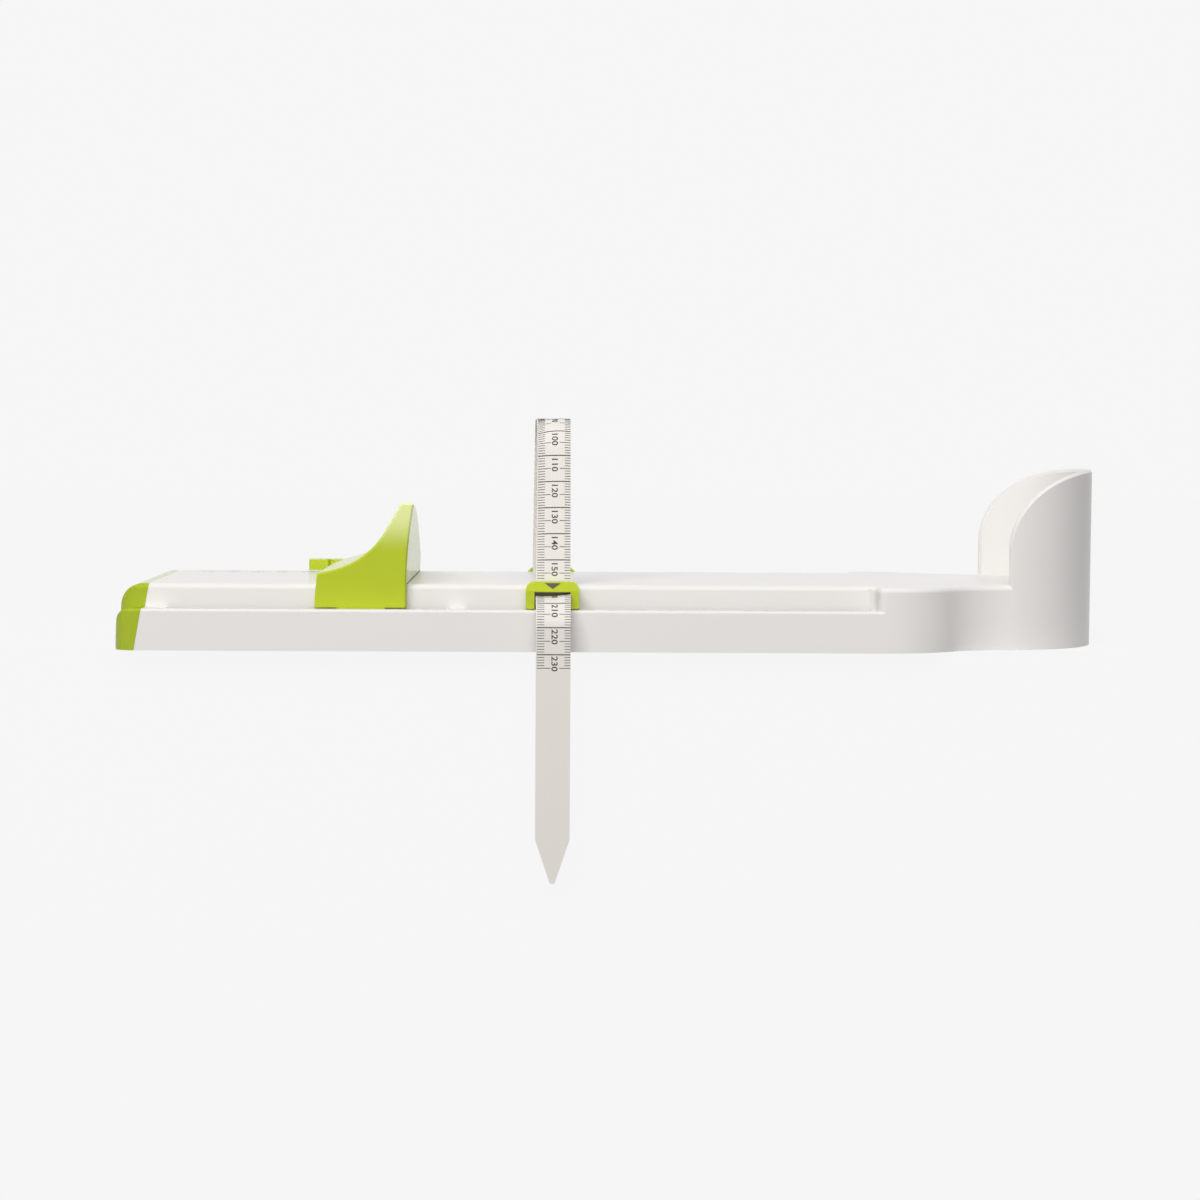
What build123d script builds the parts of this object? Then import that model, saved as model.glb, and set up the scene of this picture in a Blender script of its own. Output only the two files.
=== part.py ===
from build123d import *
from math import atan2, cos, degrees, radians, sin
import os

os.makedirs("parts", exist_ok=True)

# Foot measuring device, in mm. +X runs from the toes to the heel, -Y is the reading side,
# +Z is up, and Z = 0 is the flat underside, with the origin at its middle.

# Driving dimensions of the foot plate
toe_end_x = -186.7            # tip of the toe end
heel_centre_x = 149.6         # centre of the round heel end
heel_radius = 37.2            # outside of the heel cup
heel_wall = 3.2
plinth_half_width = 55.0
platform_half_width = 44.5
ledge_z = 15.5                # top of the ledges that carry the two slides
platform_z = 24.4             # where the foot stands
cup_shoulder_z = 38.5         # where the cup's front edge starts to lean back
cup_top_z = 67.9
taper_start_x = 102.0         # here the plinth starts to narrow towards the heel
block_front_x = 98.0          # the ledges end here
end_draft = 0.07              # lean of the toe end, mm per mm of height
plan_corner = 7.0
block_corner = 3.0            # in plan, outside and inside, where the ledges end
block_inner_corner = 4.0
ledge_rounding = 1.0
platform_rounding = 2.0
toe_ledge_rounding = 5.0      # round the toe end, at the ledges and at the platform
toe_platform_rounding = 9.0
rim_chamfer = 1.0
wall = 2.2
ledge_wall = 2.0
cover_thickness = 2.0
cover_gap = 0.2
cavity_front_x = -172.0
rib_width = 1.6
rib_z = 17.5                  # lower edge of the ribs below the platform
long_rib_y = 16.0
cross_rib_x = (112.0, 135.0)
rib_reach = 42.0              # ribs and cross wall run into the platform's side walls
boss_radius = 3.4
boss_places = ((-165.0, 34.0), (-59.0, 34.0), (150.0, 20.0))
weld = 1.0                    # parts of one moulding run this far into each other
beyond = 400.0                # reaches past the whole part, for shapes that cut or trim

# Slots in the ledges, and the cross wall that keeps each slide in its own half
slot_outer = 49.4
toe_slot = (-168.0, -62.0)
ball_slot = (-56.0, 96.0)
cross_wall_x = -59.0

# Toe end cap
seam_x = -179.0               # at Z = 0
seam_lean = 0.18              # mm per mm of height
peg_y = 28.0
peg_z = 8.0
peg_radius = 2.5
peg_tip_x = -174.0
peg_tip_gap = 0.6
peg_clearance = 0.1
cap_pocket_x = (-184.0, -182.0)   # the low and the high pocket inside the cap start here
cap_pocket_y = (51.0, 41.5)
cap_roof = 4.0

# Screws, with few sides to keep them and their holes light
screw_sides = 12
screw_radius = 1.0
screw_length = 11.0
screw_hole_gap = 1.0          # past the end of a base screw
head_radius = 2.0
head_height = 1.2
small_screw_radius = 0.9
small_screw_length = 6.0
small_head_radius = 1.5

# Bars that join each slide's two sides under the platform, and the leaf springs on them
bar_bottom_z = 10.2
bar_top_z = 13.2
bar_half_width = 52.3
bar_corner = 2.0
bar_margin = 4.0              # beside the slots that lighten a bar
middle_slot = 8.0
small_screw_top_z = bar_bottom_z + head_height + small_screw_length
spring_width = 6.0
spring_reach = 9.5            # half the length of a spring
spring_thickness = 0.4
spring_gap = 0.1
spring_end = 2.5              # flat ends that stand on the bar
spring_crown = 1.5            # half of the flat top

# Toe slide
slide_gap = 0.3               # above the ledge
cheek_outer = 48.6
channel_half_width = 44.9
channel_z = 24.8              # underside of the slide over the platform
slide_rear_x = -112.4
slide_front_x = -77.95
slide_shoulder = (-111.3, 28.6)
shoulder_run = 5.8            # straight part behind the shoulder
shoulder_slope = 13.0         # degrees
sweep_radius = 31.0
sweep_turn = 47.0             # degrees
stop_upright_z = 22.0         # above this height the stop face leans towards the heel
stop_radius = 190.0
crest = ((-48.6, 54.9), (4.0, 46.6), (48.6, 31.5))   # Y and height along the top of the stop
crest_corner = 5.0            # at the far end
slide_chamfer = 0.6           # along the slide's upper edges
stop_skew = 0.9               # the stop's far end stands this much nearer the heel
slide_wall = 2.0
slide_foot = (-104.0, -86.0)
foot_y = (45.2, 48.6)
toe_bar = (-106.0, -84.0)
toe_bar_slots = (24.0, 40.0)
toe_spring_x = -95.0
tab_x = (-122.0, -108.0)
tab_inner = 40.0
tab_top_z = 29.2
tab_corner = 1.5
notch_x = -113.5
notch_width = 1.4
notch_depth = 1.2
slide_screw_x = (-100.0, -90.0)
slide_screw_y = 46.9

# Tape carriage
carriage_x = (-33.2, -13.4)
carriage_inner = 44.9
carriage_outer = 51.5
carriage_top_z = 25.9
carriage_corner = 3.0
carriage_low_corner = 1.0
window_x = (-30.0, -16.6)
bar_underside_z = 22.1
tape_slit_y = 46.0
face_lean_z = 22.6            # the bar's face leans back above this height
face_lean = 2.0
pointer_x = -23.2
pointer_top_z = 25.4
pointer_width = 6.3
pointer_height = 2.2
pointer_depth = 0.4
carriage_foot_y = (44.9, 49.1)
lug_x = ((-37.5, -34.6), (-12.0, -9.1))
lug_y = (-50.5, -43.5)
lug_bottom_z = 2.9
wide_bar_y = 38.0
carriage_bar_slots = (22.0, 34.0)
carriage_spring_x = -23.3
carriage_screw_x = (-31.7, -14.9)
carriage_screw_y = 47.0
clip_pocket_x = (-31.4, -17.8)
clip_pocket_y = 49.8
clip_pocket_z = 17.0
guide_slot_y = (-49.6, -44.4)
anchor_pin_x = (-33.2, -15.1)
pin_clearance = 0.05

# Tape
tape_x = -23.0
hem_x = -24.6                 # the tape runs slightly askew, so its hem lies nearer the toes
tape_width = 12.8
tape_thickness = 0.4
strand_y = 45.2               # centre line of the tape where it enters the carriage
strand_lean = 12.6            # degrees, each side of the free loop leans inwards
strand_length = 49.6
strand_bend = 3.0
strand_start = 0.3            # upright, where the tape leaves the carriage
loop_corner = 14.2
guide_z = 4.7
anchor_z = 20.2
pin_radius = 1.5
pin_turn = 1.8                # centre line of the tape round a pin
lip_z = 17.8
lip_turn = 2.7
exit_turn = 11.5
hem_top_z = 23.0
root_length = 10.0
tail_tip_z = -85.5
taper_length = 16.4
tip_width = 1.7
tip_corner = 0.6


def save(shape, name):
    shape.label = name
    export_step(shape, f"parts/{name}.step")


def box(x0, x1, y0, y1, z0, z1):
    return Pos((x0 + x1) / 2, (y0 + y1) / 2, (z0 + z1) / 2) * Box(x1 - x0, y1 - y0, z1 - z0)


def heelward_of(x):
    """Plan of all that lies on the heel's side of x."""
    return Pos(x + beyond / 2, 0) * Rectangle(beyond, beyond)


def both_sides(shape):
    return shape + mirror(shape, about=Plane.XZ)


def upright(x, y, z0, z1, radius):
    return Pos(x, y, (z0 + z1) / 2) * Cylinder(radius, z1 - z0)


def screw_rod(x, y, z0, z1, radius):
    return Pos(x, y, z0) * extrude(RegularPolygon(radius, screw_sides), z1 - z0)


def along_x(x0, x1, y, z, radius):
    return Pos((x0 + x1) / 2, y, z) * Rot(0, 90, 0) * Cylinder(radius, x1 - x0)


def screw(x, y, z, length, radius, wide):
    """Screw driven upwards, with the underside of its head at z."""
    return screw_rod(x, y, z - head_height, z, wide) + screw_rod(x, y, z, z + length, radius)


# ---------------------------------------------------------------- foot plate

def footprint(inset=0.0):
    """Plan of the plinth: straight sides, an S-curve down to the heel's half circle."""
    run = heel_centre_x - taper_start_x
    drop = plinth_half_width - heel_radius
    turn = 2 * degrees(atan2(drop, run))
    bend = (run**2 + drop**2) / (4 * drop)
    near = Line((toe_end_x + inset, -plinth_half_width + inset), (taper_start_x, -plinth_half_width + inset))
    out_1 = JernArc(near @ 1, (1, 0), bend - inset, turn)
    in_1 = JernArc(out_1 @ 1, out_1 % 1, bend + inset, -turn)
    heel = JernArc(in_1 @ 1, (1, 0), heel_radius - inset, 180)
    in_2 = JernArc(heel @ 1, (-1, 0), bend + inset, -turn)
    out_2 = JernArc(in_2 @ 1, in_2 % 1, bend - inset, turn)
    far = Line(out_2 @ 1, (toe_end_x + inset, plinth_half_width - inset))
    toe = Line(far @ 1, near @ 0)
    face = make_face([near, out_1, in_1, heel, in_2, out_2, far, toe])
    corners = face.vertices().sort_by(Axis.X)[:2]
    return fillet(corners, plan_corner - inset)


def platform_plan():
    """Plan of the raised part: a strip between the ledges, and the full width at the heel."""
    length = block_front_x - toe_end_x
    strip = Pos(toe_end_x + length / 2, 0) * Rectangle(length, 2 * platform_half_width)
    strip = fillet(strip.vertices().sort_by(Axis.X)[:2], plan_corner)
    plan = strip + (footprint() & heelward_of(block_front_x))
    front = [v for v in plan.vertices() if abs(v.X - block_front_x) < 0.1]
    plan = fillet([v for v in front if abs(v.Y) < platform_half_width + 1], block_inner_corner)
    front = [v for v in plan.vertices() if abs(v.X - block_front_x) < 0.1]
    return fillet([v for v in front if abs(v.Y) > plinth_half_width - 5], block_corner)


def toe_profile(top_z, radius):
    """Side view that leans and rounds the toe end."""
    corner = (toe_end_x + end_draft * top_z, top_z)
    outline = Polyline((toe_end_x, 0), corner, (beyond, top_z), (beyond, 0), close=True)
    face = make_face(Plane.XZ * outline)
    top = [v for v in face.vertices() if abs(v.X - corner[0]) < 0.1 and v.Z > 0]
    face = fillet(top, radius)
    return extrude(face, beyond, both=True)


def heel_cup():
    """Half ring whose front edge stands up to the shoulder and then sweeps back to the top."""
    back_x = heel_centre_x + heel_radius
    ring = Pos(heel_centre_x, 0) * (Circle(heel_radius) - Circle(heel_radius - heel_wall))
    ring &= heelward_of(heel_centre_x)
    sweep = Pos(back_x, cup_shoulder_z) * Ellipse(heel_radius, cup_top_z - cup_shoulder_z)
    front = Pos(heel_centre_x + heel_radius, cup_shoulder_z / 2) * Rectangle(2 * heel_radius, cup_shoulder_z)
    cup = extrude(ring, cup_top_z) & extrude(Plane.XZ * (sweep + front), beyond, both=True)
    rim = [e for e in cup.edges() if e.center().Z > cup_shoulder_z + 5 and e.length > 12]
    return chamfer(rim, rim_chamfer)


def outer_form():
    plinth = extrude(footprint(), ledge_z)
    rails = [e for e in plinth.edges().filter_by(Axis.X) if e.center().Z > 1 and e.length > 50]
    plinth = fillet(rails, ledge_rounding) & toe_profile(ledge_z, toe_ledge_rounding)
    raised = extrude(platform_plan(), platform_z)
    brow = raised.faces().sort_by(Axis.Z)[-1].edges()
    raised = fillet(brow, platform_rounding) & toe_profile(platform_z, toe_platform_rounding)
    return plinth + raised + heel_cup()


def behind_seam():
    low_z, high_z = -weld, cup_top_z + weld
    outline = Polyline((seam_x + seam_lean * low_z, low_z), (seam_x + seam_lean * high_z, high_z),
                       (beyond, high_z), (beyond, low_z), close=True)
    return extrude(make_face(Plane.XZ * outline), beyond, both=True)


def cavity():
    """Room below the ledges and the platform, open at the underside."""
    plan = footprint(wall) & heelward_of(cavity_front_x)
    heel_x = block_front_x + wall
    strip_length = heel_x + weld - cavity_front_x
    strip = Rectangle(strip_length, 2 * (platform_half_width - wall))
    strip = Pos(cavity_front_x + strip_length / 2, 0) * strip
    low = extrude(plan, ledge_z - ledge_wall)
    return low + extrude(strip + (plan & heelward_of(heel_x)), platform_z - wall)


def ribs():
    top = platform_z - wall + weld
    shape = both_sides(box(cavity_front_x - weld, heel_centre_x + heel_radius, long_rib_y - rib_width / 2,
                           long_rib_y + rib_width / 2, rib_z, top))
    for x in cross_rib_x:
        shape += box(x - rib_width / 2, x + rib_width / 2, -rib_reach, rib_reach, rib_z, top)
    return shape & extrude(footprint(wall / 2), platform_z)


def cross_wall():
    x0, x1 = cross_wall_x - wall / 2, cross_wall_x + wall / 2
    reach = plinth_half_width - wall / 2
    low = box(x0, x1, -reach, reach, cover_thickness, ledge_z - weld)
    return low + box(x0, x1, -rib_reach - weld, rib_reach + weld, cover_thickness, platform_z - weld)


def footplate_shell(form):
    shell = (form & behind_seam()) - cavity()
    shell += ribs() + cross_wall()
    for x, y in boss_places:
        shell += both_sides(upright(x, y, cover_thickness, platform_z - weld, boss_radius))
    hole_top_z = head_height + cover_gap + screw_length + screw_hole_gap
    for x, y in boss_places:
        shell -= both_sides(screw_rod(x, y, 0, hole_top_z, screw_radius))
    for start, end in (toe_slot, ball_slot):
        shell -= both_sides(box(start, end, platform_half_width, slot_outer, ledge_z - ledge_wall - weld, platform_z))
    return shell - both_sides(peg(seam_x, peg_tip_x + peg_tip_gap, peg_radius + peg_clearance))


def peg(x0, x1, radius):
    return Pos(x0, peg_y, peg_z) * Rot(0, 90, 0) * extrude(RegularPolygon(radius, screw_sides), x1 - x0)


def toe_end_cap(form):
    cap = form - behind_seam()
    for start, reach, top in zip(cap_pocket_x, cap_pocket_y, (ledge_z, platform_z)):
        cap -= box(start, peg_tip_x, -reach, reach, cover_thickness, top - cap_roof)
    return cap + both_sides(peg(cap_pocket_x[0] - weld, peg_tip_x, peg_radius))


def bottom_cover():
    cover = extrude(footprint(wall + cover_gap) & heelward_of(cavity_front_x + cover_gap), cover_thickness)
    for x, y in boss_places:
        cover -= both_sides(screw_rod(x, y, -weld, head_height + cover_gap, head_radius + cover_gap))
        cover -= both_sides(screw_rod(x, y, 0, cover_thickness + weld, screw_radius + cover_gap))
    return cover


def base_screws():
    places = [(x, side * y) for x, y in boss_places for side in (-1, 1)]
    size = (screw_length, screw_radius, head_radius)
    return Compound(children=[screw(x, y, head_height + cover_gap, *size) for x, y in places])


# ---------------------------------------------------------------- toe slide

def slide_profile():
    """Side view of the toe slide: a low back that sweeps up to a tall stop."""
    bottom_z, top_z = ledge_z + slide_gap, crest[0][1]
    slope = radians(shoulder_slope)
    rear = Line((slide_rear_x, bottom_z), slide_shoulder)
    run = Line(rear @ 1, (rear @ 1) + Vector(cos(slope), sin(slope)) * shoulder_run)
    sweep = JernArc(run @ 1, run % 1, sweep_radius, sweep_turn)
    climb = (top_z - (sweep @ 1).Y) / (sweep % 1).Y
    fin = Line(sweep @ 1, (sweep @ 1) + (sweep % 1) * climb)
    foot = Line((slide_front_x, bottom_z), (slide_front_x, stop_upright_z))
    lean = stop_radius - (stop_radius**2 - (top_z - stop_upright_z)**2)**0.5
    face = TangentArc(foot @ 1, (slide_front_x + lean, top_z), tangent=foot % 1)
    top, bottom = Line(fin @ 1, face @ 1), Line(foot @ 0, rear @ 0)
    return make_face([rear, run, sweep, fin, top, face, foot, bottom])


def under_crest(drop=0.0):
    """All that lies below the stop's top edge, which falls from the near to the far side."""
    near, middle, far = [(y, z - drop) for y, z in crest]
    edge = ThreePointArc(near, middle, far)
    outline = make_face([edge, Polyline(far, (far[0], 0), (near[0], 0), near)])
    corner = outline.vertices().sort_by_distance(far)[0]
    return extrude(Plane.YZ * fillet(corner, crest_corner), beyond, both=True)


def channel(low_z, high_z):
    """Space between the two cheeks, as wide as the platform that it passes over."""
    return box(-beyond, 0, -channel_half_width, channel_half_width, low_z, high_z)


def slide_hollow():
    """Room inside the slide, one wall thickness below its top."""
    thin = offset(slide_profile(), -slide_wall, kind=Kind.INTERSECTION)
    room = extrude(Plane.XZ * thin, cheek_outer, both=True) & under_crest(slide_wall)
    return room & channel(channel_z - weld, beyond)


def slider_shell():
    turn = degrees(atan2(stop_skew, 2 * cheek_outer))
    body = extrude(Plane.XZ * slide_profile(), plinth_half_width, both=True)
    body = Pos(stop_skew / 2, 0, 0) * Rot(0, 0, -turn) * body
    body = (body & under_crest()) - channel(0, channel_z)
    upper = [e for e in body.edges() if e.center().Z > slide_shoulder[1] + slide_gap]
    body = chamfer(upper, slide_chamfer) - slide_hollow()
    tab = box(*tab_x, tab_inner, cheek_outer, channel_z, tab_top_z)
    body += fillet(tab.edges().filter_by(Axis.Z).sort_by(Axis.X)[:2], tab_corner)
    notch = make_face(Polyline((notch_x - notch_width / 2, 0), (notch_x + notch_width / 2, 0),
                               (notch_x, notch_depth), close=True))
    body -= Pos(0, tab_inner, ledge_z) * extrude(notch, tab_top_z)
    body += both_sides(box(*slide_foot, *foot_y, bar_top_z, ledge_z + weld))
    for x in slide_screw_x:
        body -= both_sides(screw_rod(x, slide_screw_y, bar_top_z, small_screw_top_z, small_screw_radius))
    return body


def leaf_spring(x, y):
    """Bent strip that stands on the bar and presses on the rib above it."""
    low, high = bar_top_z, rib_z - spring_gap
    rise = [(-spring_reach, low), (spring_end - spring_reach, low), (-spring_crown, high - spring_thickness)]
    line = rise + [(-u, v) for u, v in reversed(rise)]
    raised = [(u, v + spring_thickness) for u, v in reversed(line)]
    strip = make_face(Polyline(*line, *raised, close=True))
    return Pos(x, y, 0) * extrude(Plane.XZ * strip, spring_width / 2, both=True)


def spring_pair(x):
    return Compound(children=[leaf_spring(x, side * long_rib_y) for side in (-1, 1)])


def slide_screws(xs, y):
    z = bar_bottom_z + head_height
    places = [(x, side * y) for x in xs for side in (-1, 1)]
    size = (small_screw_length, small_screw_radius, small_head_radius)
    return Compound(children=[screw(x, y, z, *size) for x, y in places])


def screw_holes(xs, y):
    holes = Part()
    for x in xs:
        holes += both_sides(screw_rod(x, y, bar_bottom_z - weld, bar_bottom_z + head_height, small_head_radius))
        holes += both_sides(screw_rod(x, y, bar_bottom_z, bar_top_z + weld, small_screw_radius))
    return holes


def bar_slots(ends, side_slots):
    """Slots that lighten a bar: one at each side and one in the middle."""
    x0, x1 = ends[0] + bar_margin, ends[1] - bar_margin
    sides = both_sides(box(x0, x1, *side_slots, 0, platform_z))
    return sides + box(x0, x1, -middle_slot, middle_slot, 0, platform_z)


def slider_crossbar():
    bar = box(*toe_bar, -bar_half_width, bar_half_width, bar_bottom_z, bar_top_z)
    bar = fillet(bar.edges().filter_by(Axis.Z), bar_corner) - bar_slots(toe_bar, toe_bar_slots)
    return bar - screw_holes(slide_screw_x, slide_screw_y)


# ---------------------------------------------------------------- tape carriage

def side_block(inner, outer):
    """Block that rides on a ledge, with a face that leans back near the top."""
    x0, x1 = carriage_x
    block = box(x0, x1, inner, outer, ledge_z + slide_gap, carriage_top_z)
    block = fillet(block.edges().filter_by(Axis.Y).sort_by(Axis.Z)[2:], carriage_corner)
    block = fillet(block.edges().filter_by(Axis.Y).sort_by(Axis.Z)[:2], carriage_low_corner)
    top_z = carriage_top_z + 1
    lean = Polyline((outer, face_lean_z), (outer + 1, face_lean_z), (outer + 1, top_z), (outer - face_lean, top_z),
                    close=True)
    return block - extrude(Plane.YZ * make_face(lean), beyond, both=True)


def carriage_feet():
    foot = box(carriage_x[0], window_x[0], *carriage_foot_y, bar_top_z, ledge_z + weld)
    return foot + box(window_x[1], carriage_x[1], *carriage_foot_y, bar_top_z, ledge_z + weld)


def foot_holes(y):
    holes = Part()
    for x in carriage_screw_x:
        holes += screw_rod(x, y, bar_top_z, small_screw_top_z, small_screw_radius)
    return holes


def pointer_shape():
    """Triangle let into the bar's leaning face, with its tip down."""
    half = pointer_width / 2
    triangle = make_face(Polyline((pointer_x - half, pointer_top_z), (pointer_x + half, pointer_top_z),
                                  (pointer_x, pointer_top_z - pointer_height), close=True))
    prism = extrude(Plane.XZ * triangle, -beyond)
    skin = side_block(carriage_inner, carriage_outer)
    skin -= Pos(0, -pointer_depth, 0) * side_block(carriage_inner - 1, carriage_outer)
    return mirror(prism & skin, about=Plane.XZ)


def carriage_buckle():
    block = mirror(side_block(carriage_inner, carriage_outer), about=Plane.XZ)
    block += mirror(carriage_feet(), about=Plane.XZ)
    block -= box(*window_x, -beyond, 0, 0, bar_underside_z)
    block -= box(*window_x, -tape_slit_y, 0, 0, beyond)
    return block - foot_holes(-carriage_screw_y) - pointer_shape()


def carriage_far_clip():
    block = side_block(carriage_inner, carriage_outer) + carriage_feet()
    block -= box(*clip_pocket_x, 0, clip_pocket_y, clip_pocket_z, beyond)
    block -= along_x(*anchor_pin_x, strand_y + pin_turn, anchor_z, pin_radius)
    return block - foot_holes(carriage_screw_y)


def carriage_crossbar():
    bar = box(*carriage_x, -bar_half_width, bar_half_width, bar_bottom_z, bar_top_z)
    x0, x1 = lug_x[0][0], lug_x[1][1]
    bar += both_sides(box(x0, x1, wide_bar_y, bar_half_width, bar_bottom_z, bar_top_z))
    ends = [e for e in bar.edges().filter_by(Axis.Z) if e.center().X < x0 + 1 or e.center().X > x1 - 1]
    bar = fillet(ends, bar_corner)
    for start, end in lug_x:
        bar += box(start, end, *lug_y, lug_bottom_z, bar_bottom_z + weld)
    bar -= along_x(x0 - 1, x1 + 1, -strand_y - pin_turn, guide_z, pin_radius + pin_clearance)
    bar -= box(*window_x, *guide_slot_y, 0, platform_z) + bar_slots(carriage_x, carriage_bar_slots)
    return bar - screw_holes(carriage_screw_x, carriage_screw_y)


# ---------------------------------------------------------------- tape

def strip(start, heading, steps):
    """Edge view of a stretch of tape, from steps of (length or radius, turn in degrees)."""
    half = tape_thickness / 2
    ahead = Vector(cos(radians(heading)), sin(radians(heading)))
    sides = []
    for offset in (half, -half):
        point = Vector(*start) + Vector(-ahead.Y, ahead.X) * offset
        direction = ahead
        edges = []
        for size, turn in steps:
            if turn:
                radius = size - offset if turn > 0 else size + offset
                edges.append(JernArc(point, direction, radius, turn))
            else:
                edges.append(Line(point, point + direction * size))
            point, direction = edges[-1] @ 1, edges[-1] % 1
        sides.append(edges)
    left, right = sides
    ends = [Line(left[0] @ 0, right[0] @ 0), Line(left[-1] @ 1, right[-1] @ 1)]
    return make_face(left + right + ends)


def tape(start, heading, steps, x=tape_x):
    band = extrude(Plane.YZ * strip(start, heading, steps), tape_width / 2, both=True)
    return Pos(x, 0, 0) * band


def tape_hem():
    start = (strand_y + 2 * pin_turn, hem_top_z)
    steps = [(hem_top_z - anchor_z, 0), (pin_turn, -180), (carriage_top_z - anchor_z, 0)]
    return tape(start, 270, steps, hem_x)


def tape_loop():
    lean = radians(strand_lean)
    side_run = strand_bend * (1 - cos(lean)) + strand_length * sin(lean) + loop_corner * cos(lean)
    top = 2 * (strand_y - side_run)
    rise = [(strand_start, 0), (strand_bend, strand_lean), (strand_length, 0), (loop_corner, 90 - strand_lean)]
    return tape((strand_y, carriage_top_z), 90, rise + [(top, 0)] + rise[::-1])


def tape_feed():
    down = carriage_top_z - guide_z
    return tape((-strand_y, carriage_top_z), 270, [(down, 0), (pin_turn, -180), (lip_z - guide_z, 0)])


def tape_exit():
    start = (-strand_y - 2 * pin_turn, lip_z)
    return tape(start, 90, [(lip_turn, 90), (exit_turn, 90)])


tail_y = -strand_y - 2 * pin_turn - lip_turn - exit_turn
tail_top_z = lip_z + lip_turn - exit_turn


def tape_tail_root():
    return tape((tail_y, tail_top_z), 270, [(root_length, 0)])


def tape_tail():
    top_z = tail_top_z - root_length
    half, tip = tape_width / 2, tip_width / 2
    outline = Polyline((-half, top_z), (half, top_z), (half, tail_tip_z + taper_length), (tip, tail_tip_z),
                       (-tip, tail_tip_z), (-half, tail_tip_z + taper_length), close=True)
    face = fillet(make_face(outline).vertices().sort_by(Axis.Y)[:2], tip_corner)
    return Pos(tape_x, tail_y, 0) * extrude(Plane.XZ * face, tape_thickness / 2, both=True)


form = outer_form()
save(footplate_shell(form), "footplate_shell")
save(toe_end_cap(form), "toe_end_cap")
save(bottom_cover(), "bottom_cover")
save(base_screws(), "base_screws")
save(slider_shell(), "slider_shell")
save(slider_crossbar(), "slider_crossbar")
save(spring_pair(toe_spring_x), "slider_springs")
save(slide_screws(slide_screw_x, slide_screw_y), "slider_screws")
save(carriage_buckle(), "carriage_buckle")
save(pointer_shape(), "pointer_mark")
save(carriage_far_clip(), "carriage_far_clip")
save(carriage_crossbar(), "carriage_crossbar")
save(spring_pair(carriage_spring_x), "carriage_springs")
save(slide_screws(carriage_screw_x, carriage_screw_y), "carriage_screws")
save(along_x(lug_x[0][0], lug_x[1][1], -strand_y - pin_turn, guide_z, pin_radius), "tape_guide_pin")
save(along_x(*anchor_pin_x, strand_y + pin_turn, anchor_z, pin_radius), "tape_anchor_pin")
save(tape_hem(), "tape_hem")
save(tape_loop(), "tape_loop")
save(tape_feed(), "tape_feed")
save(tape_exit(), "tape_exit")
save(tape_tail_root(), "tape_tail_root")
save(tape_tail(), "tape_tail")
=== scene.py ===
import math

import bpy
from mathutils import Matrix, Vector


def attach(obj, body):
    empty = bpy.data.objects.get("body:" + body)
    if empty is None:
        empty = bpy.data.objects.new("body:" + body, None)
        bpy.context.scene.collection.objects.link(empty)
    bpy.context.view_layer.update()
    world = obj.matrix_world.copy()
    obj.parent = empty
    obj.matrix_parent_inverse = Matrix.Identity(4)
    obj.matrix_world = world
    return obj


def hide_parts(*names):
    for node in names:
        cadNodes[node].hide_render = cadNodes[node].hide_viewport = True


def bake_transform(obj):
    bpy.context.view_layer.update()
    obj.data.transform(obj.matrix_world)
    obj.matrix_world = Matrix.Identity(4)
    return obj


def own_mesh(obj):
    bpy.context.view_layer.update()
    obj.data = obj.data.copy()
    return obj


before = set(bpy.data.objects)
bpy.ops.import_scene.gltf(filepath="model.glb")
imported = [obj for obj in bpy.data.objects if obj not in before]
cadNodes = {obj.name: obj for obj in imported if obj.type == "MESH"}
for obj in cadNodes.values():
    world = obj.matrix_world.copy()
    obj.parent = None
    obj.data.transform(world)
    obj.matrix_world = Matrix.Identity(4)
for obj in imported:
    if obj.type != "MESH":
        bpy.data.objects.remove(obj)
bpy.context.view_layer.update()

mm = 0.001                   # the settings below are in mm and degrees unless a note says otherwise


def clearSelection():
    for thing in bpy.context.selected_objects:
        thing.select_set(False)


def pick(*things):
    clearSelection()
    for thing in things:
        thing.select_set(True)
    bpy.context.view_layer.objects.active = things[0]


def joinInto(name, things):
    pick(*things)
    bpy.ops.object.join()
    joined = bpy.context.object
    joined.name = name
    joined.data.name = name
    return joined


def thicken(thing, thickness):
    # gives a flat piece its thickness, in mm, half to each side
    pick(thing)
    solid = thing.modifiers.new("thickness", "SOLIDIFY")
    solid.thickness = thickness * mm
    solid.offset = 0
    bpy.ops.object.modifier_apply(modifier=solid.name)


def giveMaterial(thing, name):
    thing.data.materials.clear()
    thing.data.materials.append(materials[name])


# the camera stands a metre away, a little above the platform

cameraSetup = {
    "place": (-28.3, -1035, 85.7),
    "lens": 79.38,
    "pitchDown": 3.87,
    "roll": 0.25,
    "shiftX": 0.0508,        # share of the picture's width
}


def placeCamera(setup):
    data = bpy.data.cameras.new("studioCamera")
    data.lens = setup["lens"]
    data.shift_x = setup["shiftX"]
    camera = bpy.data.objects.new("studioCamera", data)
    bpy.context.scene.collection.objects.link(camera)
    turn = Matrix.Rotation(math.radians(90 - setup["pitchDown"]), 4, "X")
    roll = Matrix.Rotation(math.radians(setup["roll"]), 4, "Z")
    camera.matrix_world = Matrix.Translation(Vector(setup["place"]) * mm) @ turn @ roll
    bpy.context.scene.camera = camera


placeCamera(cameraSetup)
print("camera placed")


# moulded plastics and steel

def newMaterial(name):
    material = bpy.data.materials.new(name)
    material.use_nodes = True
    tree = material.node_tree
    return material, tree, tree.nodes["Principled BSDF"]


def setInputs(node, values):
    for key, value in values.items():
        node.inputs[key].default_value = value


def tintBetween(tree, factor, first, second):
    tint = tree.nodes.new("ShaderNodeMix")
    tint.data_type = "RGBA"
    setInputs(tint, {"A": (*first, 1), "B": (*second, 1)})
    tree.links.new(factor, tint.inputs["Factor"])
    return tint


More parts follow.
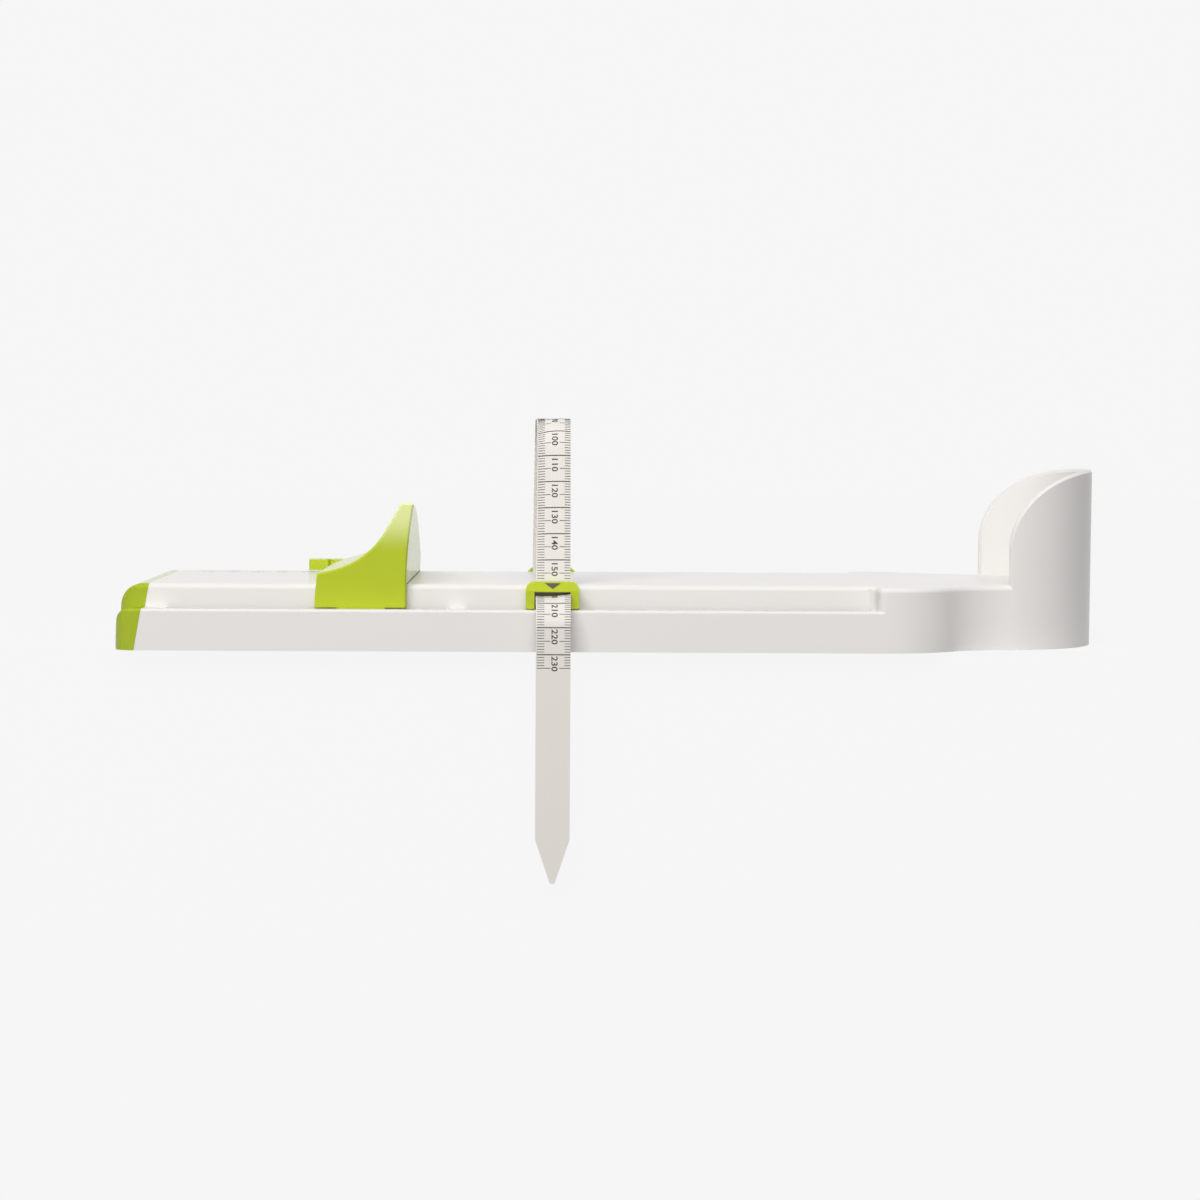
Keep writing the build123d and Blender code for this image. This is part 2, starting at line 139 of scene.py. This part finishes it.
def bumpFrom(tree, shader, height, strength, depth):
    bump = tree.nodes.new("ShaderNodeBump")
    setInputs(bump, {"Strength": strength, "Distance": depth * mm})
    tree.links.new(height, bump.inputs["Height"])
    tree.links.new(bump.outputs["Normal"], shader.inputs["Normal"])


def buildGrainGroup():
    # fine moulded grain and slow blotches, both from Object coordinates
    group = bpy.data.node_groups.new("mouldedGrain", "ShaderNodeTree")
    for name, value in (("Grain Size", 2500.0), ("Blotch Size", 12.0), ("Roughness", 0.35), ("Spread", 0.08)):
        socket = group.interface.new_socket(name, in_out="INPUT", socket_type="NodeSocketFloat")
        socket.default_value = value
    for name in ("Height", "Blotch", "Roughness Out"):
        group.interface.new_socket(name, in_out="OUTPUT", socket_type="NodeSocketFloat")
    nodes, links = group.nodes, group.links
    enter = nodes.new("NodeGroupInput")
    leave = nodes.new("NodeGroupOutput")
    place = nodes.new("ShaderNodeTexCoord")
    grain = nodes.new("ShaderNodeTexNoise")
    grain.inputs["Detail"].default_value = 3
    blotch = nodes.new("ShaderNodeTexNoise")
    blotch.inputs["Detail"].default_value = 4
    centred = nodes.new("ShaderNodeMath")
    centred.operation = "SUBTRACT"
    centred.inputs[1].default_value = 0.5
    rough = nodes.new("ShaderNodeMath")
    rough.operation = "MULTIPLY_ADD"
    links.new(place.outputs["Object"], grain.inputs["Vector"])
    links.new(place.outputs["Object"], blotch.inputs["Vector"])
    links.new(enter.outputs["Grain Size"], grain.inputs["Scale"])
    links.new(enter.outputs["Blotch Size"], blotch.inputs["Scale"])
    links.new(blotch.outputs["Fac"], centred.inputs[0])
    links.new(centred.outputs[0], rough.inputs[0])
    links.new(enter.outputs["Spread"], rough.inputs[1])
    links.new(enter.outputs["Roughness"], rough.inputs[2])
    links.new(grain.outputs["Fac"], leave.inputs["Height"])
    links.new(blotch.outputs["Fac"], leave.inputs["Blotch"])
    links.new(rough.outputs[0], leave.inputs["Roughness Out"])
    return group


grainGroup = buildGrainGroup()
grainInputs = ("Grain Size", "Blotch Size", "Roughness", "Spread")
plainFinish = {"glow": 0.0, "glowReach": (1, 1, 1), "coat": 0.0, "ior": 1.5, "metallic": 0.0}
grainDepth = 0.02            # mm of bump at full strength
coatRoughness = 0.08


def mouldedPlastic(name, setup):
    setup = {**plainFinish, **setup}
    material, tree, shader = newMaterial(name)
    grain = tree.nodes.new("ShaderNodeGroup")
    grain.node_tree = grainGroup
    setInputs(grain, {key: setup[key] for key in grainInputs})
    tint = tintBetween(tree, grain.outputs["Blotch"], setup["colour"], setup["colourB"])
    tree.links.new(tint.outputs["Result"], shader.inputs["Base Color"])
    tree.links.new(grain.outputs["Roughness Out"], shader.inputs["Roughness"])
    bumpFrom(tree, shader, grain.outputs["Height"], setup["bump"], grainDepth)
    setInputs(shader, {
        "IOR": setup["ior"],
        "Metallic": setup["metallic"],
        "Subsurface Weight": setup["glow"],
        "Subsurface Radius": setup["glowReach"],
        "Subsurface Scale": mm,
        "Coat Weight": setup["coat"],
        "Coat Roughness": coatRoughness,
    })
    return material


plastics = {
    "whitePlastic": {"colour": (0.79, 0.765, 0.74), "colourB": (0.80, 0.778, 0.755), "Grain Size": 2600,
                     "Blotch Size": 9, "Roughness": 0.3, "Spread": 0.03, "bump": 0.04,
                     "glow": 0.1, "glowReach": (1.2, 1.0, 0.8), "coat": 0.15},
    "limePlastic": {"colour": (0.455, 0.545, 0.01), "colourB": (0.495, 0.585, 0.016), "Grain Size": 2600,
                    "Blotch Size": 20, "Roughness": 0.15, "Spread": 0.04, "bump": 0.03,
                    "glow": 0.3, "glowReach": (1.6, 1.8, 0.3), "ior": 1.43},
    # painted shade: the same lime made darker for the toe end cap
    "limeCapPaintedShade": {"colour": (0.355, 0.445, 0.005), "colourB": (0.39, 0.48, 0.008), "Grain Size": 2600,
                  "Blotch Size": 20, "Roughness": 0.13, "Spread": 0.04, "bump": 0.03,
                  "glow": 0.2, "glowReach": (1.6, 1.8, 0.3), "ior": 1.43},
    "greyPlastic": {"colour": (0.25, 0.26, 0.26), "colourB": (0.30, 0.31, 0.31), "Grain Size": 1800,
                    "Blotch Size": 40, "Roughness": 0.5, "Spread": 0.1, "bump": 0.5},
    "scaleInk": {"colour": (0.30, 0.30, 0.30), "colourB": (0.36, 0.36, 0.36), "Grain Size": 3000,
                 "Blotch Size": 300, "Roughness": 0.45, "Spread": 0.1, "bump": 0.1},
    "darkInlay": {"colour": (0.075, 0.07, 0.045), "colourB": (0.095, 0.09, 0.06), "Grain Size": 3000,
                  "Blotch Size": 400, "Roughness": 0.45, "Spread": 0.1, "bump": 0.3},
    "steel": {"colour": (0.5, 0.5, 0.51), "colourB": (0.58, 0.58, 0.6), "Grain Size": 2000,
              "Blotch Size": 300, "Roughness": 0.3, "Spread": 0.15, "bump": 0.2, "metallic": 1.0},
}
materials = {name: mouldedPlastic(name, setup) for name, setup in plastics.items()}


def palerCrest(base, setup):
    # painted light: the upper part of the toe slide is painted paler, standing in for light that comes through
    # its thin walls
    material = base.copy()
    material.name = "limeCrestPaintedLight"
    tree = material.node_tree
    shader = tree.nodes["Principled BSDF"]
    lowColour = shader.inputs["Base Color"].links[0].from_socket
    place = tree.nodes.new("ShaderNodeTexCoord")
    split = tree.nodes.new("ShaderNodeSeparateXYZ")
    share = tree.nodes.new("ShaderNodeMapRange")
    share.interpolation_type = "SMOOTHSTEP"
    setInputs(share, {"From Min": setup["fromZ"] * mm, "From Max": setup["toZ"] * mm})
    tree.links.new(place.outputs["Object"], split.inputs["Vector"])
    tree.links.new(split.outputs["Z"], share.inputs["Value"])
    tint = tintBetween(tree, share.outputs["Result"], setup["colour"], setup["colour"])
    tree.links.new(lowColour, tint.inputs["A"])
    tree.links.new(tint.outputs["Result"], shader.inputs["Base Color"])
    return material


# painted light on the slide's crest: the pale colour and the heights over which it fades in
crestSetup = {"fromZ": 36, "toZ": 51, "colour": (0.78, 0.84, 0.36)}
materials["limeCrestPaintedLight"] = palerCrest(materials["limePlastic"], crestSetup)


# the tape's cloth and its print

clothSetup = {
    "colour": (0.80, 0.76, 0.715),
    "thread": (0.75, 0.71, 0.665),
    "waveScale": 400,
    "waviness": 0.6,
    "bump": 0.25,
    "bumpDepth": 0.03,
    "Roughness": 0.42,
}

inkSetup = {
    "colour": (0.03, 0.028, 0.028),
    "faded": (0.06, 0.055, 0.055),
    "wearScale": 1500,
    "Roughness": 0.5,
}

tapeFilm = {"Coat Weight": 0.3, "Coat Roughness": 0.25}


def tapeCloth(setup):
    # coated tape: a close weave under a satin film
    material, tree, shader = newMaterial("coatedTape")
    place = tree.nodes.new("ShaderNodeTexCoord")
    weave = tree.nodes.new("ShaderNodeMath")
    weave.operation = "MULTIPLY"
    for i, direction in enumerate("XZ"):     # warp and weft
        wave = tree.nodes.new("ShaderNodeTexWave")
        wave.bands_direction = direction
        setInputs(wave, {"Scale": setup["waveScale"], "Distortion": setup["waviness"]})
        tree.links.new(place.outputs["Object"], wave.inputs["Vector"])
        tree.links.new(wave.outputs["Fac"], weave.inputs[i])
    tint = tintBetween(tree, weave.outputs[0], setup["thread"], setup["colour"])
    tree.links.new(tint.outputs["Result"], shader.inputs["Base Color"])
    bumpFrom(tree, shader, weave.outputs[0], setup["bump"], setup["bumpDepth"])
    setInputs(shader, {"Roughness": setup["Roughness"], **tapeFilm})
    return material


def tapeInk(setup):
    material, tree, shader = newMaterial("tapeInk")
    place = tree.nodes.new("ShaderNodeTexCoord")
    wear = tree.nodes.new("ShaderNodeTexNoise")
    wear.inputs["Scale"].default_value = setup["wearScale"]
    tree.links.new(place.outputs["Object"], wear.inputs["Vector"])
    tint = tintBetween(tree, wear.outputs["Fac"], setup["colour"], setup["faded"])
    tree.links.new(tint.outputs["Result"], shader.inputs["Base Color"])
    setInputs(shader, {"Roughness": setup["Roughness"], **tapeFilm})
    return material


materials["coatedTape"] = tapeCloth(clothSetup)
materials["tapeInk"] = tapeInk(inkSetup)

nodeFinish = {
    "footplate_shell": "whitePlastic",
    "bottom_cover": "whitePlastic",
    # the toe end cap takes the lime with painted shade
    "toe_end_cap": "limeCapPaintedShade",
    # the slider shell takes the lime with the crest's painted light
    "slider_shell": "limeCrestPaintedLight",
    "carriage_buckle": "limePlastic",
    "carriage_far_clip": "limePlastic",
    "pointer_mark": "darkInlay",
    "slider_crossbar": "greyPlastic",
    "carriage_crossbar": "greyPlastic",
    "slider_springs": "steel",
    "carriage_springs": "steel",
    "tape_guide_pin": "steel",
    "tape_anchor_pin": "steel",
    "base_screws": "steel",
    "slider_screws": "steel",
    "carriage_screws": "steel",
}

for name, node in cadNodes.items():
    giveMaterial(node, nodeFinish.get(name, "coatedTape"))
print("materials on the moulded pieces")


# the tape's run: y and z lead from the far clip over the loop to the tip, s is the length along it

tapeSetup = {
    "x": -23.0,
    "width": 12.8,
    "thickness": 0.36,
    "strandY": 45.2,
    "mouthZ": 25.9,          # top of the carriage's two sides
    "straightStart": 0.3,
    "bendRadius": 3.0,
    "lean": 12.6,
    "strand": 49.6,
    "cornerRadius": 14.2,
    "pinTurn": 3.6,          # between the strands going down and coming up inside the plinth
    "lipZ": 17.8,
    "lipRadius": 2.7,
    "exitRadius": 11.5,
    "rootEndZ": -1.0,
    "tipZ": -85.5,
    "taper": 16.4,
    "tipWidth": 1.7,
    "loopZero": 22.4,        # length of tape before the printed zero
    "exitReading": 202.7,    # reading where the tape turns over its lip
    "lastReading": 235,
}

curlSetup = {                # how the tape lies off its flat run
    "skew": 1.6,             # the far side of the loop lies this much towards the toes
    "cornerRun": 20,         # from the middle of the top to the near strand
    "lead": 6,
    "rise": 0.8,             # below 1, the curl comes early
    "cup": 0.06,             # strongest curl across the near strand, 1 / mm
    "twist": 8.0,
    "flare": 0.035,          # share of the width gained at the lip
    "flareLength": 16,
    "lipLift": 0.9,
    "lipRun": 12,
}

printSetup = {
    "leftMargin": 0.35,
    "rightMargin": 0.02,
    "strokes": {10: 0.36, 5: 0.22, 1: 0.21},     # how thick each kind of line is
    "fivesLeftEnd": -1.0,
    "fivesRightStart": 2.3,
    "leftTick": 2.75,
    "rightTick": 2.2,
    "cell": 0.6,
    "numberSize": 3.2,
    "numberBold": 0.04,
    "numberDrop": 0.6,
    "numberStart": 0.55,
    "numberStretch": 1.18,
    "lift": 0.04,
    "thickness": 0.04,
}


def walkRoute(start, heading, steps):
    # steps are (length, 0) or (radius, turn in degrees); gives the length and a place finder
    legs = []
    y, z = start
    angle = math.radians(heading)
    total = 0.0
    for size, turn in steps:
        length = size if turn == 0 else size * math.radians(abs(turn))
        legs.append((total, y, z, angle, size, turn))
        if turn == 0:
            y, z = y + size * math.cos(angle), z + size * math.sin(angle)
        else:
            side = math.copysign(1, turn)
            nextAngle = angle + math.radians(turn)
            y += side * size * (math.sin(nextAngle) - math.sin(angle))
            z -= side * size * (math.cos(nextAngle) - math.cos(angle))
            angle = nextAngle
        total += length

    def placeAt(s):
        leg = legs[0]
        for candidate in legs:
            if s >= candidate[0] - 1e-9:
                leg = candidate
        begin, y0, z0, angle0, size, turn = leg
        along = s - begin
        if turn == 0:
            return y0 + along * math.cos(angle0), z0 + along * math.sin(angle0), angle0
        side = math.copysign(1, turn)
        angle1 = angle0 + side * along / size
        return (y0 + side * size * (math.sin(angle1) - math.sin(angle0)),
                z0 - side * size * (math.cos(angle1) - math.cos(angle0)), angle1)

    return total, placeAt


def loopRoute(setup):
    lean = setup["lean"]
    rise = [(setup["straightStart"], 0), (setup["bendRadius"], lean), (setup["strand"], 0),
            (setup["cornerRadius"], 90 - lean)]
    leanRad = math.radians(lean)
    sideRun = (setup["bendRadius"] * (1 - math.cos(leanRad)) + setup["strand"] * math.sin(leanRad)
               + setup["cornerRadius"] * math.cos(leanRad))
    top = 2 * (setup["strandY"] - sideRun)
    return walkRoute((setup["strandY"], setup["mouthZ"]), 90, rise + [(top, 0)] + rise[::-1])


def exitRoute(setup):
    startY = -setup["strandY"] - setup["pinTurn"]
    bottomZ = setup["lipZ"] + setup["lipRadius"] - setup["exitRadius"]
    return walkRoute((startY, setup["lipZ"]), 90,
                     [(setup["lipRadius"], 90), (setup["exitRadius"], 90), (bottomZ - setup["rootEndZ"], 0)])


def tailRoute(setup):
    y = -setup["strandY"] - setup["pinTurn"] - setup["lipRadius"] - setup["exitRadius"]
    return walkRoute((y, setup["rootEndZ"]), 270, [(setup["rootEndZ"] - setup["tipZ"], 0)])


def flatBand(name, length, width, stepLength, stepsAcross):
    # a flat grid: x across the tape, y along it
    clearSelection()
    rows = max(2, round(length / stepLength))
    bpy.ops.mesh.primitive_grid_add(x_subdivisions=stepsAcross, y_subdivisions=rows, size=1,
                                    location=(0, length / 2, 0))
    band = bpy.context.object
    band.name = name
    band.scale = (width, length, 1)
    pick(band)
    bpy.ops.object.transform_apply(location=True, rotation=True, scale=True)
    return band


def tickMarks(readings, toLength):
    # thin bars across the tape: full lines every 10, split lines every 5, short ones every 1
    half = tapeSetup["width"] / 2
    left, right = -half + printSetup["leftMargin"], half - printSetup["rightMargin"]
    spans = {
        10: [(left, right)],
        5: [(left, printSetup["fivesLeftEnd"]), (printSetup["fivesRightStart"], right)],
        1: [(left, left + printSetup["leftTick"]), (right - printSetup["rightTick"], right)],
    }
    verts, faces = [], []
    for reading in readings:
        s = toLength(reading)
        kind = next(step for step in spans if reading % step == 0)
        halfThick = printSetup["strokes"][kind] / 2
        for x0, x1 in spans[kind]:
            cells = max(1, round((x1 - x0) / printSetup["cell"]))
            for i in range(cells + 1):
                x = x0 + (x1 - x0) * i / cells
                verts += [(x, s - halfThick, 0), (x, s + halfThick, 0)]
                if i:
                    n = len(verts)
                    faces.append((n - 4, n - 2, n - 1, n - 3))
    mesh = bpy.data.meshes.new("ticks")
    mesh.from_pydata(verts, [], faces)
    ticks = bpy.data.objects.new("ticks", mesh)
    bpy.context.scene.collection.objects.link(ticks)
    return ticks


def addNumber(reading, size, place=(0, 0, 0)):
    clearSelection()
    bpy.ops.object.text_add(location=place)
    number = bpy.context.object
    number.data.body = str(reading)
    number.data.size = size
    number.data.resolution_u = 3
    return number


def numberMarks(readings, toLength):
    # each number runs along the tape, its feet towards the toes
    marks = []
    for reading in readings:
        number = addNumber(reading, printSetup["numberSize"])
        number.data.offset = printSetup["numberBold"]
        pick(number)
        bpy.ops.object.convert(target="MESH")
        bpy.ops.object.mode_set(mode="EDIT")
        bpy.ops.mesh.select_all(action="SELECT")
        bpy.ops.mesh.quads_convert_to_tris()
        bpy.ops.mesh.subdivide(number_cuts=2)
        bpy.ops.object.mode_set(mode="OBJECT")
        start = toLength(reading) + printSetup["numberStart"]
        for vertex in number.data.vertices:
            along, up = vertex.co.x, vertex.co.y
            vertex.co = (up - printSetup["numberDrop"], start + printSetup["numberStretch"] * along, 0)
        marks.append(number)
    return marks


def layAlong(thing, placeAt, offset, warp=None):
    # bends a flat piece onto the route; offset is measured outwards from the middle of the tape
    for vertex in thing.data.vertices:
        across, s, lift = vertex.co
        y, z, angle = placeAt(s)
        out = offset + lift
        if warp:
            # the offset follows the curled surface's own normal
            here, beside = warp(across, s), warp(across + 0.01, s)
            slope = math.atan2(beside[1] - here[1], beside[0] - here[0])
            across, out = here[0] - out * math.sin(slope), here[1] + out * math.cos(slope)
        vertex.co = Vector((tapeSetup["x"] + across, y + out * math.sin(angle), z - out * math.cos(angle))) * mm


def finishTape(name, band, inks, placeAt, warp=None):
    layAlong(band, placeAt, 0.0, warp)
    thicken(band, tapeSetup["thickness"])
    giveMaterial(band, "coatedTape")
    ink = joinInto("ink", inks)
    layAlong(ink, placeAt, tapeSetup["thickness"] / 2 + printSetup["lift"], warp)
    thicken(ink, printSetup["thickness"])
    giveMaterial(ink, "tapeInk")
    tape = joinInto(name, [band, ink])
    bpy.ops.object.shade_smooth_by_angle(angle=math.radians(40))
    return tape


def makeLoop(setup, curl):
    length, placeAt = loopRoute(setup)
    nearTop = length - setup["strand"] - curl["cornerRun"]

    def warp(across, s):
        # the far side runs askew, and the near strand is cupped between the corner and the carriage
        skew = -curl["skew"] * max(0.0, 1 - s / nearTop)
        share = min(1.0, max(0.0, (s - nearTop + curl["lead"]) / (length - nearTop + curl["lead"])))
        strength = math.sin(math.pi * share ** curl["rise"])
        bend = curl["cup"] * strength + 1e-6
        twist = math.radians(curl["twist"]) * strength
        flat, sunk = math.sin(across * bend) / bend, (math.cos(across * bend) - 1) / bend
        return (flat * math.cos(twist) - sunk * math.sin(twist) + skew,
                flat * math.sin(twist) + sunk * math.cos(twist))

    def toLength(reading):
        return reading + setup["loopZero"]

    last = int(length - setup["loopZero"])
    band = flatBand("loop", length, setup["width"], 1.0, 12)
    inks = [tickMarks(range(0, last + 1), toLength)]
    inks += numberMarks(range(10, last - 2, 10), toLength)
    loop = finishTape("tape_band_loop", band, inks, placeAt, warp)
    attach(loop, "carriage")
    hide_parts("tape_loop")
    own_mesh(loop)


def makeExit(setup, curl):
    length, placeAt = exitRoute(setup)
    lipLength = setup["lipRadius"] * math.pi / 2

    def toLength(reading):
        return reading - setup["exitReading"] + lipLength

    def warp(across, s):
        # flares a little at the lip, where its right side also stands higher
        fade = max(0.0, 1 - s / curl["flareLength"])
        u = 2 * across / setup["width"]
        lift = curl["lipLift"] * 0.5 * (u + u * u) * math.sin(math.pi * min(1.0, s / curl["lipRun"]))
        return across * (1 + curl["flare"] * fade), lift

    last = int(setup["exitReading"] + length - lipLength)
    band = flatBand("exit", length, setup["width"], 0.6, 12)
    inks = [tickMarks(range(200, last + 1), toLength)]
    inks += numberMarks((200, 210, 220), toLength)
    piece = finishTape("tape_band_exit", band, inks, placeAt, warp)
    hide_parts("tape_exit", "tape_tail_root")
    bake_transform(piece)
    return last


def makeTail(setup, firstReading):
    length, placeAt = tailRoute(setup)
    exitLength = exitRoute(setup)[0]
    lipLength = setup["lipRadius"] * math.pi / 2

    def toLength(reading):
        return reading - setup["exitReading"] + lipLength - exitLength

    band = flatBand("tail", length, setup["width"], 1.0, 8)
    start = length - setup["taper"]
    for vertex in band.data.vertices:
        past = max(0.0, vertex.co.y - start) / setup["taper"]
        vertex.co.x *= 1 - past * (1 - setup["tipWidth"] / setup["width"])
    inks = [tickMarks(range(firstReading, setup["lastReading"] + 1), toLength)]
    inks += numberMarks((230,), toLength)
    piece = finishTape("tape_band_tail", band, inks, placeAt)
    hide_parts("tape_tail")
    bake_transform(piece)


makeLoop(tapeSetup, curlSetup)
lastOnExit = makeExit(tapeSetup, curlSetup)
makeTail(tapeSetup, lastOnExit + 1)
print("tape laid and printed")


# the foot-length scale beside the toe slide's index tab

footScale = {
    "readings": (240, 315),      # mm of foot length, from the heel cup's inside
    "zeroX": 148.05,             # a mark for reading L lies at this minus L
    "farEdgeY": 39.6,
    "lengths": {10: 4.0, 5: 3.0, 1: 2.0},
    "widths": {10: 0.4, 5: 0.32, 1: 0.28},
    "topZ": 24.4,
    "thickness": 0.04,
    "numberSize": 3.4,
    "numberGap": 5.2,            # from the far ends of the marks to the top of the numbers
}


def makeFootScale(setup):
    first, last = setup["readings"]
    strokes, numbers = [], []
    for reading in range(first, last + 1):
        step = next(step for step in setup["lengths"] if reading % step == 0)
        x, wide, long = setup["zeroX"] - reading, setup["widths"][step], setup["lengths"][step]
        clearSelection()
        bpy.ops.mesh.primitive_grid_add(x_subdivisions=1, y_subdivisions=2, size=1,
                                        location=(x, setup["farEdgeY"] - long / 2, setup["topZ"]))
        stroke = bpy.context.object
        stroke.scale = (wide, long, 1)
        strokes.append(stroke)
        if step == 10:
            number = addNumber(reading, setup["numberSize"],
                               (x, setup["farEdgeY"] - setup["numberGap"], setup["topZ"]))
            number.data.align_x = "CENTER"
            number.data.align_y = "TOP"
            pick(number)
            bpy.ops.object.convert(target="MESH")
            numbers.append(number)
    scale = joinInto("platform_scale", strokes + numbers)
    bpy.ops.object.transform_apply(location=True, rotation=True, scale=True)
    for vertex in scale.data.vertices:
        vertex.co *= mm
    thicken(scale, setup["thickness"])
    giveMaterial(scale, "scaleInk")
    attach(scale, "base")


makeFootScale(footScale)
print("scale printed on the platform")


# shelf, backdrop and lamps

stageSetup = {
    "backdrop": 0.9216,       # seen by the camera
    "shelfGlow": 0.951,
    "shelfGrey": 0.4,         # what the shelf throws back onto the object
    "shelfRoughness": 0.9,
    "ambient": 0.16,
    "frontY": -45,            # the shelf's front edge lies just under the foot plate
    "size": (3.0, 2.0, 0.5),  # m
    "keep": 0.05,             # share of real shading left in the shelf
}


def seenDirectly(tree):
    # 1 for rays from the camera, in reflections and through clear things
    path = tree.nodes.new("ShaderNodeLightPath")
    seen = path.outputs["Is Camera Ray"]
    for kind in ("Is Glossy Ray", "Is Transmission Ray"):
        either = tree.nodes.new("ShaderNodeMath")
        either.operation = "MAXIMUM"
        tree.links.new(seen, either.inputs[0])
        tree.links.new(path.outputs[kind], either.inputs[1])
        seen = either.outputs[0]
    return seen


def buildWorld(setup):
    world = bpy.data.worlds.new("studio")
    bpy.context.scene.world = world
    world.use_nodes = True
    tree = world.node_tree
    shade = tree.nodes["Background"]
    mix = tree.nodes.new("ShaderNodeMix")
    mix.data_type = "FLOAT"
    setInputs(mix, {"A": setup["ambient"], "B": setup["backdrop"]})
    tree.links.new(seenDirectly(tree), mix.inputs["Factor"])
    tree.links.new(mix.outputs["Result"], shade.inputs["Strength"])
    shade.inputs["Color"].default_value = (1, 1, 1, 1)


def buildShelf(setup):
    material, tree, shader = newMaterial("shelfPaint")
    setInputs(shader, {"Base Color": (*[setup["shelfGrey"]] * 3, 1),
                       "Roughness": setup["shelfRoughness"], "Specular IOR Level": 0.0})
    glow = tree.nodes.new("ShaderNodeEmission")
    glow.inputs["Strength"].default_value = setup["shelfGlow"]
    share = tree.nodes.new("ShaderNodeMath")
    share.operation = "MULTIPLY"
    share.inputs[1].default_value = 1 - setup["keep"]
    mix = tree.nodes.new("ShaderNodeMixShader")
    tree.links.new(seenDirectly(tree), share.inputs[0])
    tree.links.new(share.outputs[0], mix.inputs["Fac"])
    tree.links.new(shader.outputs["BSDF"], mix.inputs[1])
    tree.links.new(glow.outputs["Emission"], mix.inputs[2])
    tree.links.new(mix.outputs["Shader"], tree.nodes["Material Output"].inputs["Surface"])
    clearSelection()
    wide, deep, high = setup["size"]
    bpy.ops.mesh.primitive_cube_add(size=1, location=(0, setup["frontY"] * mm + deep / 2, -high / 2))
    shelf = bpy.context.object
    shelf.name = "shelf"
    shelf.scale = (wide, deep, high)
    shelf.data.materials.append(material)


lamps = {                     # places and sizes in m, power in W
    "front": {"place": (-0.5, -1.6, 1.5), "size": (1.9, 1.2), "power": 52},
    "side": {"place": (0.5, -2.0, 0.8), "size": (1.2, 1.0), "power": 6},
    "back": {"place": (0.2, 1.9, 1.2), "size": (2.0, 1.2), "power": 12},
}


def addLamp(name, setup):
    data = bpy.data.lights.new(name, "AREA")
    data.shape = "RECTANGLE"
    data.size, data.size_y = setup["size"]
    data.energy = setup["power"]
    lamp = bpy.data.objects.new(name, data)
    bpy.context.scene.collection.objects.link(lamp)
    lamp.visible_glossy = False      # gloss shows the white surroundings only
    place = Vector(setup["place"])
    lamp.location = place
    lamp.rotation_mode = "QUATERNION"
    lamp.rotation_quaternion = (-place).to_track_quat("-Z", "Y")


buildWorld(stageSetup)
buildShelf(stageSetup)
for name, setup in lamps.items():
    addLamp(name, setup)
bpy.context.scene.view_settings.view_transform = "Standard"
print("studio set")
